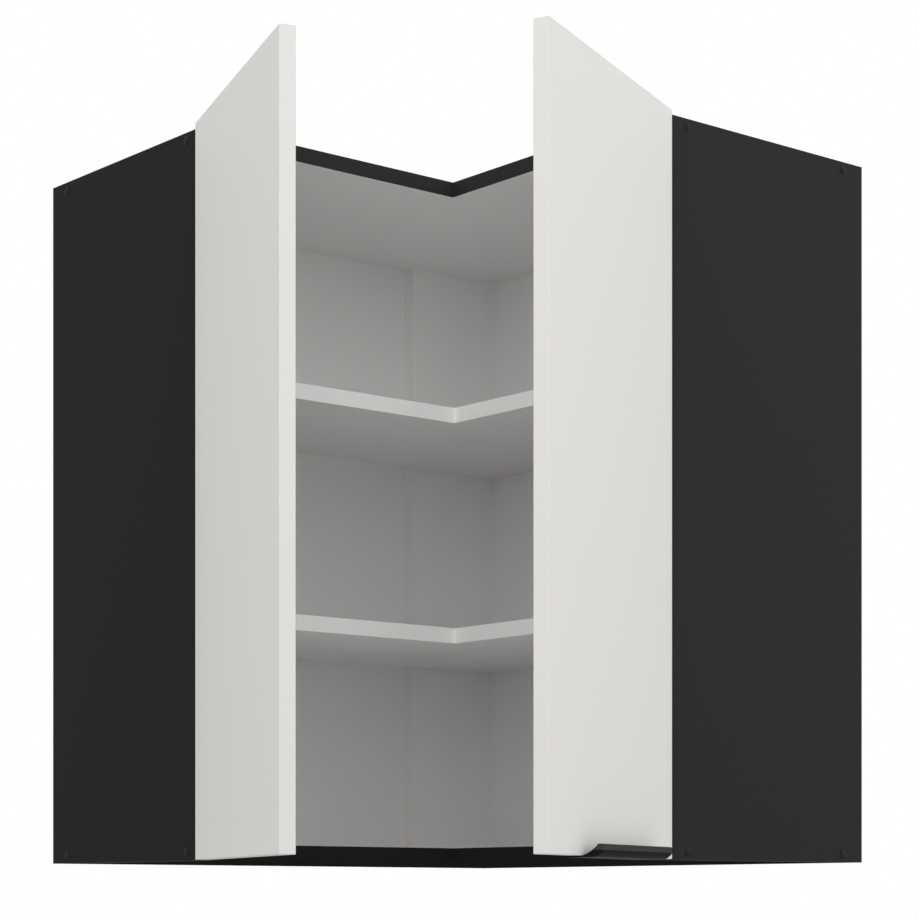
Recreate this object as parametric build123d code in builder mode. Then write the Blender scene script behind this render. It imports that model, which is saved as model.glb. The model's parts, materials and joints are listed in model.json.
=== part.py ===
from build123d import *

import math
import os
from dataclasses import dataclass

# Corner wall cabinet, in millimetres, on an L-shaped plan with a door on each wing.
# The origin is the wall corner at the height of the carcass's underside. The right wing
# runs along +X, the left wing along -Y, and +Z is up. Both doors stand open at rest.

# Carcass
wing_length = 600.0  # wall corner to an end panel's outer face
carcass_depth = 288.0  # wall to the carcass's front plane
carcass_height = 716.0
board_thickness = 16.0
back_thickness = 3.0
back_setback = 12.0  # wall to the backs' inner faces
groove_depth = 8.0
groove_play = 0.2
corner_board_width = 120.0
fit_play = 0.05  # round a fastener that stays put

# Shelves
shelf_names = ("lower", "upper")
shelf_setback = 14.0  # behind the carcass's front plane
shelf_play = 0.5  # between a shelf and what it stands next to

# Doors
door_thickness = 15.0
door_gap = 3.0  # carcass front to a closed door's inner face
door_reveal = 2.4  # end panel's outer face to a closed door's hinge edge
door_end_gap = 0.5  # door short of the carcass at top and bottom
door_corner_gap = 4.0  # left door's outer face to the right door's free edge
left_door_inset = 9.0  # left door's free edge short of the right door's inner face
left_door_angle = 110.0  # how far each door stands open at rest
right_door_angle = 114.0
widest_door_angle = 120.0
door_edge_round = 0.6
bumper_radius = 4.0
bumper_play = 0.3  # left between a closed door's bumper and the carcass
bumper_inset = 16.0  # from the door's free edge

# Hinges
hinge_inset = 100.0  # door end to hinge centre
pin_circle = 24.0  # hinge line to both link pins
cup_pin_lead = 9.0  # degrees that the cup pin lies inside a closed door's inner face
arm_pin_lag = 8.0  # degrees that the arm pin lies behind that face
pin_radius = 1.5
link_running_play = 0.05
cup_edge_distance = 22.5  # door's hinge edge to the cup's centre
cup_radius = 17.5
cup_depth = 11.5
cup_wall = 1.0
cup_floor = 1.0
cup_hole_play = 0.1
flange_thickness = 1.2
flange_rim = 19.0
flange_width = 16.0
flange_length = 62.0
flange_corner = 3.0
cup_screw_offset = 6.0  # cup centre to the screw line, away from the hinge edge
cup_screw_spacing = 48.0
ear_thickness = 2.0
ear_half_width = 2.8
link_side_play = 0.3
link_cheek = 1.4
link_wall = 1.4  # metal beside the slot
link_slot_play = 0.25
link_web_gap = 3.7  # cup pin to the inner face of the link's web
arm_half_width = 6.0
nose_radius = 3.4
arm_rear = 62.0  # front plane to the arm's rear end
arm_shoulder = 14.0  # front plane to where the arm starts to taper
arm_wall = 1.2
arm_web = 1.6
arm_screw_rows = (50.0, 24.0)
arm_screw_stop = 0.55  # end panel's inner face to the tip of an arm's screw
pin_head_radius = 2.6
pin_head_height = 0.6
plate_thickness = 2.2
plate_front = 20.0  # front plane to the plate's front end
plate_half_width = 7.0
plate_row = 37.0  # front plane to the line of the plate's screws
plate_wing_width = 16.0
plate_length = 48.0
plate_corner = 3.0
plate_screw_spacing = 32.0

# Edge handle on the right door
handle_start = 50.0  # door's hinge edge to the handle
handle_end = 71.6  # handle to the door's free edge
handle_sheet = 1.5
handle_flange = 26.0
handle_flat = 8.7  # how far the lip's underside stays flat
handle_reach = 19.5
handle_knee = 6.0
handle_rise = 0.36  # slope at which the lip leaves the door's face
handle_height = 11.7
handle_throat = 15.0
handle_tip_round = 0.8
handle_screw_inset = 15.0
handle_screw_height = 14.0

# Wall hangers
hanger_width = 17.0
hanger_length = 46.0
hanger_height = 54.0
hanger_drop = 2.0  # below the top panel
hanger_wall = 2.0
hanger_front_wall = 4.0  # holds the adjusting screws
hanger_notch_play = 0.5  # between a back's notch and the hanger
hanger_screw_row = 18.4  # back's inner face to the hanger's screws
hook_width = 10.0
hook_sheet = 2.5
hook_lip = 12.0
hook_wall_gap = 1.5
hook_travel = 5.0  # each way from its middle
hook_middle = 28.0  # top of the housing to the middle of the hook's arm
hook_leg_room = 5.0  # housing's front wall to the hook's inner leg
hook_adjuster_play = 0.3  # between the hook's inner leg and the adjusting screws
hanger_screw_spacing = 38.0
adjuster_spacing = 16.0
adjuster_radius = 2.5

# Fasteners, as turned steps: (start radius, end radius, length)
connector_edge = 29.0  # wall to the rear row of connector screws
connector_front = 35.0  # front plane to the front row
connector_head = 3.9
connector_head_height = 3.0
connector_neck = 3.4
connector_core = 2.4
connector_length = 48.0
corner_screw_rows = (30.0, 92.0)  # right back to the corner board's screws
dowel_radius = 4.0
dowel_length = 30.0
dowel_bite = 10.0  # how deep a dowel sits in the end panel
dowel_count = 2  # between the two connector screws of a joint
cap_radius = 4.5
cap_rim = 0.3  # height of a cap's upright rim
cap_height = 1.6
cap_rings = 4  # straight rings that make up a cap's dome
nail_pitch = 110.0
nail_inset = 60.0
nail_line = 61.0  # right back to the left back's line of nails
nail = ((1.5, 1.5, 0.6), (0.8, 0.8, 18.0))
shelf_pin_radius = 2.5
shelf_pin_length = 16.0
shelf_pin_bite = 8.0  # how deep a shelf pin sits in the end panel
shelf_pin_inset = 37.0  # shelf's front or rear edge to the nearest pin
cup_screw = ((2.6, 3.4, 0.5), (3.4, 3.2, 0.9), (1.5, 1.5, 12.0))
plate_screw = ((3.4, 4.0, 0.5), (4.0, 4.0, 1.0), (2.6, 2.6, 12.5))
arm_screw_head = ((3.0, 3.6, 0.4), (3.6, 3.6, 1.2))
arm_screw_radius = 2.0
handle_screw = ((2.8, 1.5, 1.3), (1.5, 1.5, 11.0))
hanger_screw = ((2.6, 3.2, 0.5), (3.2, 3.2, 1.1), (1.6, 1.6, 12.0))
adjuster_head = ((3.4, 4.0, 0.5), (4.0, 4.0, 1.5))

UP = Vector(0, 0, 1)
ALONG = (Align.CENTER, Align.CENTER, Align.MIN)

inner_length = wing_length - board_thickness
inner_height = carcass_height - 2 * board_thickness
shelf_pitch = (inner_height + board_thickness) / (len(shelf_names) + 1)
shelf_levels = {name: shelf_pitch * (number + 1) for number, name in enumerate(shelf_names)}
connector_rows = (connector_edge, carcass_depth - connector_front)
dowel_pitch = (connector_rows[1] - connector_rows[0]) / (dowel_count + 1)
dowel_rows = [connector_rows[0] + dowel_pitch * number for number in range(1, dowel_count + 1)]
panel_middles = (board_thickness / 2, carcass_height - board_thickness / 2)
connector = (
    (connector_head, connector_head, connector_head_height),
    (connector_neck, connector_neck, board_thickness - connector_head_height),
    (connector_core, connector_core, connector_length - board_thickness),
)
dowel = ((dowel_radius, dowel_radius, dowel_length),)

closed_door_front = carcass_depth + door_gap + door_thickness
left_door_width = wing_length - door_reveal - carcass_depth - door_gap - left_door_inset
right_door_width = wing_length - door_reveal - closed_door_front - door_corner_gap
handle_length = right_door_width - handle_start - handle_end
door_bottom = door_end_gap
door_height = carcass_height - 2 * door_end_gap
hinge_levels = {"lower": door_bottom + hinge_inset, "upper": door_bottom + door_height - hinge_inset}

cup_pin_along = pin_circle * math.cos(math.radians(cup_pin_lead))
cup_pin_depth = pin_circle * math.sin(math.radians(cup_pin_lead))
arm_pin_inward = door_reveal + pin_circle * math.cos(math.radians(arm_pin_lag))
arm_pin_outward = door_gap - pin_circle * math.sin(math.radians(arm_pin_lag))
arm_top = arm_pin_inward + nose_radius
cheek_inner = arm_half_width + link_side_play
cheek_outer = cheek_inner + link_cheek


def pin_distance(angle):
    """Distance between the cup pin and the arm pin with the door opened by an angle."""
    return 2 * pin_circle * math.sin(math.radians(angle + cup_pin_lead + arm_pin_lag) / 2)


@dataclass(frozen=True)
class Side:
    """One end of the cabinet with its door.

    A carcass place is (inward, outward): inward from the end panel's outer face, and
    outward from the front plane. A door place is (along, out): along the door from its
    hinge edge, and out from its inner face.
    """

    name: str
    front_corner: Vector
    inward: Vector
    turn: int  # +1 where the door opens anticlockwise seen from above
    door_width: float
    door_angle: float

    @property
    def outward(self):
        return self.inward.rotate(Axis.Z, 90 * self.turn)

    @property
    def hinge_line(self):
        return self.front_corner + self.inward * door_reveal + self.outward * door_gap

    @property
    def door_along(self):
        return self.inward.rotate(Axis.Z, self.turn * self.door_angle)

    @property
    def door_out(self):
        return self.outward.rotate(Axis.Z, self.turn * self.door_angle)

    def board_point(self, inward, outward, level):
        return self.front_corner + self.inward * inward + self.outward * outward + UP * level

    def door_point(self, along, out, level):
        return self.hinge_line + self.door_along * along + self.door_out * out + UP * level

    def board_plan(self, level):
        return Plane(self.board_point(0, 0, level), x_dir=self.inward, z_dir=UP)

    def door_plan(self, level):
        return Plane(self.door_point(0, 0, level), x_dir=self.door_along, z_dir=UP)

    def inward_place(self, inward, outward, level):
        """Plane that faces into the cabinet, with its x along the outward direction."""
        return Plane(self.board_point(inward, outward, level), x_dir=self.outward, z_dir=self.inward)

    def door_place(self, along, out, level):
        """Plane that faces out through the door, with its x along the door."""
        return Plane(self.door_point(along, out, level), x_dir=self.door_along, z_dir=self.door_out)

    def upright_place(self, point):
        return Plane(point, x_dir=self.inward, z_dir=UP)

    def row(self, distance):
        """Outward coordinate of a place at a distance from the wall."""
        return distance - carcass_depth


left_corner = Vector(carcass_depth, -wing_length)
right_corner = Vector(wing_length, -carcass_depth)
left = Side("left", left_corner, Vector(0, 1), -1, left_door_width, left_door_angle)
right = Side("right", right_corner, Vector(-1, 0), 1, right_door_width, right_door_angle)
sides = (left, right)


def block(side, inward, outward, levels, mode=Mode.ADD):
    """Upright block between two inward, two outward and two level coordinates of a side."""
    middle = side.board_point(sum(inward) / 2, sum(outward) / 2, levels[0])
    with Locations(Plane(middle, x_dir=side.inward, z_dir=UP)):
        spans = [span[1] - span[0] for span in (inward, outward, levels)]
        Box(*spans, align=ALONG, mode=mode)


def turned(places, steps, play=0.0, mode=Mode.ADD):
    """Turned steps one behind the other along the normal of each place."""
    start = 0.0
    for start_radius, end_radius, length in steps:
        with Locations(*[place.offset(start) for place in places]):
            if start_radius == end_radius:
                Cylinder(start_radius + play, length, align=ALONG, mode=mode)
            else:
                Cone(start_radius + play, end_radius + play, length, align=ALONG, mode=mode)
        start += length


def drill(places, steps, play=fit_play):
    """Holes for fasteners that have these turned steps."""
    *leading, (start_radius, end_radius, length) = steps
    turned(places, (*leading, (start_radius, end_radius, length + play)), play, Mode.SUBTRACT)


def save(built, name):
    """Label a finished piece and write it under its own name."""
    built.part.label = name
    export_step(built.part, f"parts/{name}.step")


# Places of the fasteners


def connector_places(side):
    return [
        side.inward_place(0, side.row(row), level) for row in connector_rows for level in panel_middles
    ]


def dowel_places(side):
    start = board_thickness - dowel_bite
    return [side.inward_place(start, side.row(row), level) for row in dowel_rows for level in panel_middles]


def corner_screw_points():
    across = back_setback + board_thickness / 2
    return [(across, -back_setback - row) for row in corner_screw_rows]


def corner_top_places():
    return [Plane((x, y, carcass_height), z_dir=(0, 0, -1)) for x, y in corner_screw_points()]


def corner_bottom_places():
    return [Plane((x, y, 0), z_dir=(0, 0, 1)) for x, y in corner_screw_points()]


def shelf_screw_places(level):
    height = level + board_thickness / 2
    return [
        Plane((back_setback, -back_setback - row, height), z_dir=(1, 0, 0)) for row in corner_screw_rows
    ]


def nail_levels():
    count = int((carcass_height - 2 * nail_inset) / nail_pitch) + 1
    start = carcass_height / 2 - nail_pitch * (count - 1) / 2
    return [start + nail_pitch * number for number in range(count)]


def left_nail_places():
    start = back_setback - back_thickness
    return [Plane((start, -back_setback - nail_line, level), z_dir=(1, 0, 0)) for level in nail_levels()]


def right_nail_places():
    across = back_setback + board_thickness / 2
    start = back_thickness - back_setback
    return [Plane((across, start, level), z_dir=(0, -1, 0)) for level in nail_levels()]


def shelf_pin_rows():
    return (back_setback + shelf_pin_inset, carcass_depth - shelf_setback - shelf_pin_inset)


def shelf_pin_places(side, level):
    start = board_thickness - shelf_pin_bite
    height = level - shelf_pin_radius - fit_play
    return [side.inward_place(start, side.row(row), height) for row in shelf_pin_rows()]


def plate_screw_places(side, level):
    start = board_thickness + plate_thickness + sum(length for _, _, length in plate_screw[:2])
    return [
        Plane(
            side.board_point(start, -plate_row, level + offset), x_dir=side.outward, z_dir=-side.inward
        )
        for offset in (-plate_screw_spacing / 2, plate_screw_spacing / 2)
    ]


def arm_screw_places(side, level):
    start = arm_top + sum(length for _, _, length in arm_screw_head)
    return [
        Plane(side.board_point(start, -row, level), x_dir=side.outward, z_dir=-side.inward)
        for row in arm_screw_rows
    ]


def arm_screw():
    shank = arm_top - board_thickness - arm_screw_stop
    return (*arm_screw_head, (arm_screw_radius, arm_screw_radius, shank))


def cup_screw_places(side, level):
    along = cup_edge_distance + cup_screw_offset
    start = -flange_thickness - sum(length for _, _, length in cup_screw[:2])
    return [
        side.door_place(along, start, level + offset)
        for offset in (-cup_screw_spacing / 2, cup_screw_spacing / 2)
    ]


def handle_screw_places():
    alongs = (
        handle_start + handle_screw_inset,
        handle_start + handle_length / 2,
        handle_start + handle_length - handle_screw_inset,
    )
    return [right.door_place(along, -handle_sheet, door_bottom + handle_screw_height) for along in alongs]


def hanger_top():
    return carcass_height - board_thickness - hanger_drop


def hanger_screw_places(side):
    start = board_thickness + hanger_wall + sum(length for _, _, length in hanger_screw[:2])
    middle = hanger_top() - hanger_height / 2
    row = side.row(back_setback + hanger_screw_row)
    return [
        Plane(side.board_point(start, row, middle + offset), x_dir=side.outward, z_dir=-side.inward)
        for offset in (-hanger_screw_spacing / 2, hanger_screw_spacing / 2)
    ]


def adjuster_places(side):
    across = board_thickness + hanger_width / 2
    start = side.row(back_setback + hanger_length) + sum(length for _, _, length in adjuster_head)
    middle = hanger_top() - hook_middle
    return [
        Plane(side.board_point(across, start, middle + offset), x_dir=side.inward, z_dir=-side.outward)
        for offset in (-adjuster_spacing / 2, adjuster_spacing / 2)
    ]


def hook_leg_row():
    """Distance from the wall to the front face of a hook's inner leg."""
    return back_setback + hanger_length - hanger_front_wall - hook_leg_room


def adjuster():
    shank = back_setback + hanger_length - hook_leg_row() - hook_adjuster_play
    return (*adjuster_head, (adjuster_radius, adjuster_radius, shank))


# Carcass


def make_end_panel(side):
    with BuildPart() as panel:
        block(side, (0, board_thickness), (-carcass_depth, 0), (0, carcass_height))
        groove = (
            side.row(back_setback - back_thickness - groove_play),
            side.row(back_setback),
        )
        low = board_thickness - groove_depth
        block(side, (low, board_thickness), groove, (low, carcass_height - low), Mode.SUBTRACT)
        drill(connector_places(side), connector)
        drill(dowel_places(side), dowel)
        for level in shelf_levels.values():
            drill(shelf_pin_places(side, level), shelf_pin_peg())
        for level in hinge_levels.values():
            drill(plate_screw_places(side, level), plate_screw)
        drill(hanger_screw_places(side), hanger_screw)
    save(panel, f"{side.name}_end_panel")


def ell_points(near_x, near_y, reach, front):
    """Corners of an L-shaped board that starts this near the walls and reaches along both."""
    return [
        (near_x, -near_y),
        (reach, -near_y),
        (reach, -front),
        (front, -front),
        (front, -reach),
        (near_x, -reach),
    ]


def make_level_panel(name, level, groove_level):
    """Top or bottom panel, grooved for the backs on the face towards the inside."""
    with BuildPart() as panel:
        with BuildSketch(Plane.XY.offset(level)):
            Polygon(*ell_points(0, 0, inner_length, carcass_depth), align=None)
        extrude(amount=board_thickness)
        width = back_thickness + groove_play
        middle = back_setback - width / 2
        start = back_setback - width
        run = inner_length - start
        with BuildSketch(Plane.XY.offset(groove_level)):
            with Locations((middle, -start - run / 2)):
                Rectangle(width, run)
            with Locations((start + run / 2, -middle)):
                Rectangle(run, width)
        extrude(amount=groove_depth, mode=Mode.SUBTRACT)
        for side in sides:
            drill(connector_places(side), connector)
            drill(dowel_places(side), dowel)
        drill(corner_top_places(), connector)
        drill(corner_bottom_places(), connector)
    save(panel, name)


def make_corner_board():
    with BuildPart() as board:
        with BuildSketch(Plane.XY.offset(board_thickness)):
            across = back_setback + board_thickness / 2
            with Locations((across, -back_setback - corner_board_width / 2)):
                Rectangle(board_thickness, corner_board_width)
        extrude(amount=inner_height)
        drill(corner_top_places(), connector)
        drill(corner_bottom_places(), connector)
        for level in shelf_levels.values():
            drill(shelf_screw_places(level), connector)
        drill(left_nail_places(), nail)
        drill(right_nail_places(), nail)
    save(board, "corner_board")


def make_back_panel(side, corner_reach, nail_places):
    """Hardboard back from the end panel's groove to a distance from the other wall."""
    with BuildPart() as back:
        start = board_thickness - groove_depth + groove_play
        rows = (side.row(back_setback - back_thickness), side.row(back_setback))
        low = board_thickness - groove_depth + groove_play
        high = carcass_height - low
        block(side, (start, wing_length - corner_reach), rows, (low, high))
        notch_end = board_thickness + hanger_width + hanger_notch_play
        notch_low = hanger_top() - hanger_height + hanger_wall
        block(side, (0, notch_end), rows, (notch_low, carcass_height), Mode.SUBTRACT)
        drill(nail_places, nail)
    save(back, f"{side.name}_back_panel")


def make_shelf(name, level):
    with BuildPart() as shelf:
        with BuildSketch(Plane.XY.offset(level)):
            near_x = back_setback + board_thickness + shelf_play
            near_y = back_setback + shelf_play
            corners = ell_points(near_x, near_y, inner_length - shelf_play, carcass_depth - shelf_setback)
            Polygon(*corners, align=None)
        extrude(amount=board_thickness)
        drill(shelf_screw_places(level), connector)
    save(shelf, name)


# Carcass fasteners


def make_end_panel_screws():
    with BuildPart() as screws:
        for side in sides:
            turned(connector_places(side), connector)
    save(screws, "end_panel_screws")


def cap_dome():
    """Corners of a cap's dome from its middle to its rim, on one arc."""
    rise = cap_height - cap_rim
    arc_radius = (cap_radius**2 + rise**2) / (2 * rise)
    reaches = [cap_radius * ring / cap_rings for ring in range(cap_rings + 1)]
    return [
        (reach, cap_height - arc_radius + math.sqrt(arc_radius**2 - reach**2)) for reach in reaches
    ]


def make_screw_caps():
    """Domed caps over the heads of the end panels' connector screws."""
    with BuildPart() as caps:
        for side in sides:
            for place in connector_places(side):
                across = Plane(place.origin, x_dir=side.outward, z_dir=side.inward.cross(side.outward))
                with BuildSketch(across):
                    with BuildLine():
                        Polyline(*cap_dome(), (cap_radius, 0), (0, 0), close=True)
                    make_face()
                revolve(axis=Axis(place.origin, side.inward))
    save(caps, "screw_caps")


def make_panel_dowels():
    with BuildPart() as dowels:
        for side in sides:
            turned(dowel_places(side), dowel)
    save(dowels, "panel_dowels")


def make_corner_board_screws():
    with BuildPart() as screws:
        turned(corner_top_places() + corner_bottom_places(), connector)
    save(screws, "corner_board_screws")


def make_shelf_corner_screws():
    with BuildPart() as screws:
        for level in shelf_levels.values():
            turned(shelf_screw_places(level), connector)
    save(screws, "shelf_corner_screws")


def make_back_nails():
    with BuildPart() as nails:
        turned(left_nail_places() + right_nail_places(), nail)
    save(nails, "back_nails")


def shelf_pin_peg():
    return ((shelf_pin_radius, shelf_pin_radius, shelf_pin_length),)


def make_shelf_pins():
    with BuildPart() as pins:
        for side in sides:
            for level in shelf_levels.values():
                turned(shelf_pin_places(side, level), shelf_pin_peg())
    save(pins, "shelf_pins")


# Wall hangers


def make_hanger_housing(side):
    with BuildPart() as housing:
        top = hanger_top()
        bottom = top - hanger_height
        rear = side.row(back_setback)
        front = rear + hanger_length
        across = (board_thickness, board_thickness + hanger_width)
        block(side, across, (rear, front), (bottom, top))
        cavity = (across[0] + hanger_wall, across[1] - hanger_wall)
        levels = (bottom + hanger_wall, top - hanger_wall)
        block(side, cavity, (rear, front - hanger_front_wall), levels, Mode.SUBTRACT)
        drill(hanger_screw_places(side), hanger_screw)
        drill(adjuster_places(side), adjuster())
    save(housing, f"{side.name}_hanger_housing")


def make_hanger_hook(side):
    """Bent strip: an inner leg, an arm out through the back, and a lip that hangs behind a rail."""
    with BuildPart() as hook:
        middle = board_thickness + hanger_width / 2
        across = (middle - hook_width / 2, middle + hook_width / 2)
        level = hanger_top() - hook_middle
        arm = (level - hook_sheet / 2, level + hook_sheet / 2)
        lip_rear = side.row(hook_wall_gap)
        leg_front = side.row(hook_leg_row())
        block(side, across, (lip_rear, leg_front), arm)
        block(side, across, (lip_rear, lip_rear + hook_sheet), (arm[1] - hook_lip, arm[1]))
        reach = adjuster_spacing / 2 + adjuster_radius + hook_travel
        block(side, across, (leg_front - hook_sheet, leg_front), (level - reach, level + reach))
    save(hook, f"{side.name}_hanger_hook")


def make_hanger_screws():
    with BuildPart() as screws:
        for side in sides:
            turned(hanger_screw_places(side), hanger_screw)
    save(screws, "hanger_screws")


def make_hanger_adjusters():
    with BuildPart() as adjusters:
        for side in sides:
            turned(adjuster_places(side), adjuster())
    save(adjusters, "hanger_adjusters")


# Hinges


def make_hinge_plate(side, name, level):
    """Cross-shaped mounting plate on the end panel's inner face."""
    with BuildPart() as plate:
        length = arm_rear - plate_front
        with BuildSketch(side.inward_place(board_thickness, -arm_rear + length / 2, level)):
            RectangleRounded(length, 2 * plate_half_width, plate_corner)
            with Locations((arm_rear - length / 2 - plate_row, 0)):
                RectangleRounded(plate_wing_width, plate_length, plate_corner)
        extrude(amount=plate_thickness)
        drill(plate_screw_places(side, level), plate_screw)
        drill(arm_screw_places(side, level), arm_screw())
    save(plate, name)


def make_hinge_arm(side, name, level):
    """Channel on the mounting plate that tapers to a nose round the arm pin."""
    with BuildPart() as arm:
        base = board_thickness + plate_thickness
        with BuildSketch(side.board_plan(level)):
            with Locations((arm_pin_inward, side.turn * arm_pin_outward)):
                Circle(nose_radius)
            middle = (arm_rear + arm_shoulder) / 2
            with Locations(((base + arm_top) / 2, -side.turn * middle)):
                Rectangle(arm_top - base, arm_rear - arm_shoulder)
            make_hull()
        extrude(amount=arm_half_width, both=True)
        half_channel = arm_half_width - arm_wall
        inside = (base, arm_top - arm_web)
        channel = (level - half_channel, level + half_channel)
        block(side, inside, (-arm_rear, -arm_shoulder), channel, Mode.SUBTRACT)
        eye = side.upright_place(side.board_point(arm_pin_inward, arm_pin_outward, level - arm_half_width))
        drill([eye], ((pin_radius, pin_radius, 2 * arm_half_width),))
        drill(arm_screw_places(side, level), arm_screw())
    save(arm, name)


def make_hinge_link(side, name, level):
    """Forked link: an eye on the cup pin, and a slot in each cheek that slides on the arm pin."""
    with BuildPart() as link:
        cup_pin = side.door_point(cup_pin_along, cup_pin_depth, level)
        arm_pin = side.board_point(arm_pin_inward, arm_pin_outward, level)
        plan = Plane(cup_pin, x_dir=arm_pin - cup_pin, z_dir=UP)
        half_slot = pin_radius + link_slot_play
        half_width = half_slot + link_wall
        slot_start = pin_distance(0) - link_slot_play
        slot_end = pin_distance(widest_door_angle) + link_slot_play
        rear = link_web_gap + link_cheek - half_width
        with BuildSketch(plan):
            with Locations(((slot_end - rear) / 2, 0)):
                SlotCenterToCenter(slot_end + rear, 2 * half_width)
        extrude(amount=cheek_outer, both=True)
        with BuildSketch(plan):
            reach = slot_end + half_width
            with Locations(((reach - link_web_gap) / 2, 0)):
                Rectangle(reach + link_web_gap, 2 * half_width)
        extrude(amount=cheek_inner, both=True, mode=Mode.SUBTRACT)
        with BuildSketch(plan):
            Circle(pin_radius + link_running_play)
            with Locations(((slot_start + slot_end) / 2, 0)):
                SlotCenterToCenter(slot_end - slot_start, 2 * half_slot)
        extrude(amount=cheek_outer, both=True, mode=Mode.SUBTRACT)
    save(link, name)


def make_hinge_cup(side, name, level):
    """Cup sunk in the door, with a flange on the door's inner face and two ears for the pin."""
    with BuildPart() as cup:
        mouth = side.door_place(cup_edge_distance, 0, level)
        with BuildSketch(mouth.offset(-flange_thickness)):
            Circle(flange_rim)
            with Locations((cup_screw_offset, 0)):
                RectangleRounded(flange_width, flange_length, flange_corner)
        extrude(amount=flange_thickness)
        turned([mouth], ((cup_radius, cup_radius, cup_depth),), -cup_hole_play)
        cavity_radius = cup_radius - cup_hole_play - cup_wall
        cavity = ((cavity_radius, cavity_radius, flange_thickness + cup_depth - cup_floor),)
        turned([mouth.offset(-flange_thickness)], cavity, mode=Mode.SUBTRACT)
        ear_top = cup_pin_depth - ear_half_width
        ear_middle = cheek_outer + link_side_play + ear_thickness / 2
        with BuildSketch(mouth.offset(ear_top)):
            with Locations(*[(cup_pin_along - cup_edge_distance, y) for y in (-ear_middle, ear_middle)]):
                Rectangle(2 * ear_half_width, ear_thickness)
        extrude(amount=cup_depth - cup_floor - ear_top)
        drill([cup_pin_place(side, level)], cup_pin())
        drill(cup_screw_places(side, level), cup_screw)
    save(cup, name)


def cup_pin_half_length():
    return cheek_outer + link_side_play + ear_thickness


def cup_pin():
    return ((pin_radius, pin_radius, 2 * cup_pin_half_length()),)


def cup_pin_place(side, level):
    point = side.door_point(cup_pin_along, cup_pin_depth, level - cup_pin_half_length())
    return side.upright_place(point)


def make_cup_pins(side):
    with BuildPart() as pins:
        turned([cup_pin_place(side, level) for level in hinge_levels.values()], cup_pin())
    save(pins, f"{side.name}_cup_pins")


def make_arm_pins():
    """Headed pins through the noses of the arms, for the slots of the links."""
    with BuildPart() as pins:
        half_shank = cheek_outer + link_side_play
        steps = (
            (pin_head_radius, pin_head_radius, pin_head_height),
            (pin_radius, pin_radius, 2 * half_shank),
            (pin_head_radius, pin_head_radius, pin_head_height),
        )
        for side in sides:
            for level in hinge_levels.values():
                low = level - half_shank - pin_head_height
                point = side.board_point(arm_pin_inward, arm_pin_outward, low)
                turned([side.upright_place(point)], steps)
    save(pins, "hinge_arm_pins")


def make_plate_screws():
    with BuildPart() as screws:
        for side in sides:
            for level in hinge_levels.values():
                turned(plate_screw_places(side, level), plate_screw)
    save(screws, "hinge_plate_screws")


def make_arm_screws():
    with BuildPart() as screws:
        for side in sides:
            for level in hinge_levels.values():
                turned(arm_screw_places(side, level), arm_screw())
    save(screws, "hinge_arm_screws")


def make_cup_screws(side):
    with BuildPart() as screws:
        for level in hinge_levels.values():
            turned(cup_screw_places(side, level), cup_screw)
    save(screws, f"{side.name}_cup_screws")


# Doors


def make_door_panel(side):
    with BuildPart() as panel:
        with BuildSketch(side.door_plan(door_bottom)):
            with Locations((side.door_width / 2, side.turn * door_thickness / 2)):
                Rectangle(side.door_width, door_thickness)
        extrude(amount=door_height)
        fillet(panel.edges(), radius=door_edge_round)
        for level in hinge_levels.values():
            mouth = side.door_place(cup_edge_distance, 0, level)
            drill([mouth], ((cup_radius, cup_radius, cup_depth),), 0.0)
            drill(cup_screw_places(side, level), cup_screw)
        if side is right:
            drill(handle_screw_places(), handle_screw)
    save(panel, f"{side.name}_door_panel")


def make_bumpers(side):
    with BuildPart() as bumpers:
        along = side.door_width - bumper_inset
        places = [
            Plane(side.door_point(along, 0, level), x_dir=side.door_along, z_dir=-side.door_out)
            for level in panel_middles
        ]
        turned(places, ((bumper_radius, bumper_radius, door_gap - bumper_play),))
    save(bumpers, f"{side.name}_door_bumpers")


def make_door_handle():
    """Edge handle: a flange on the door's inner face, a sheet under its edge and a curled lip."""
    with BuildPart() as handle:
        corner = right.door_point(handle_start, door_thickness, door_bottom - handle_sheet)
        inner_face = -door_thickness
        back = inner_face - handle_sheet
        with BuildSketch(Plane(corner, x_dir=right.door_out, z_dir=right.door_along)):
            with BuildLine():
                Line((back, 0), (handle_flat, 0))
                TangentArc((handle_flat, 0), (handle_reach, handle_knee), tangent=(1, 0))
                Polyline(
                    (handle_reach, handle_knee),
                    (handle_reach, handle_height - handle_tip_round),
                    (handle_reach - handle_tip_round, handle_height),
                    (handle_throat, handle_height),
                )
                TangentArc((0, handle_sheet), (handle_throat, handle_height), tangent=(1, handle_rise))
                Polyline(
                    (0, handle_sheet),
                    (inner_face, handle_sheet),
                    (inner_face, handle_flange),
                    (back, handle_flange),
                    (back, 0),
                )
            make_face()
        extrude(amount=handle_length)
        drill(handle_screw_places(), handle_screw)
    save(handle, "door_handle")


def make_handle_screws():
    with BuildPart() as screws:
        turned(handle_screw_places(), handle_screw)
    save(screws, "handle_screws")


os.makedirs("parts", exist_ok=True)

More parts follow.
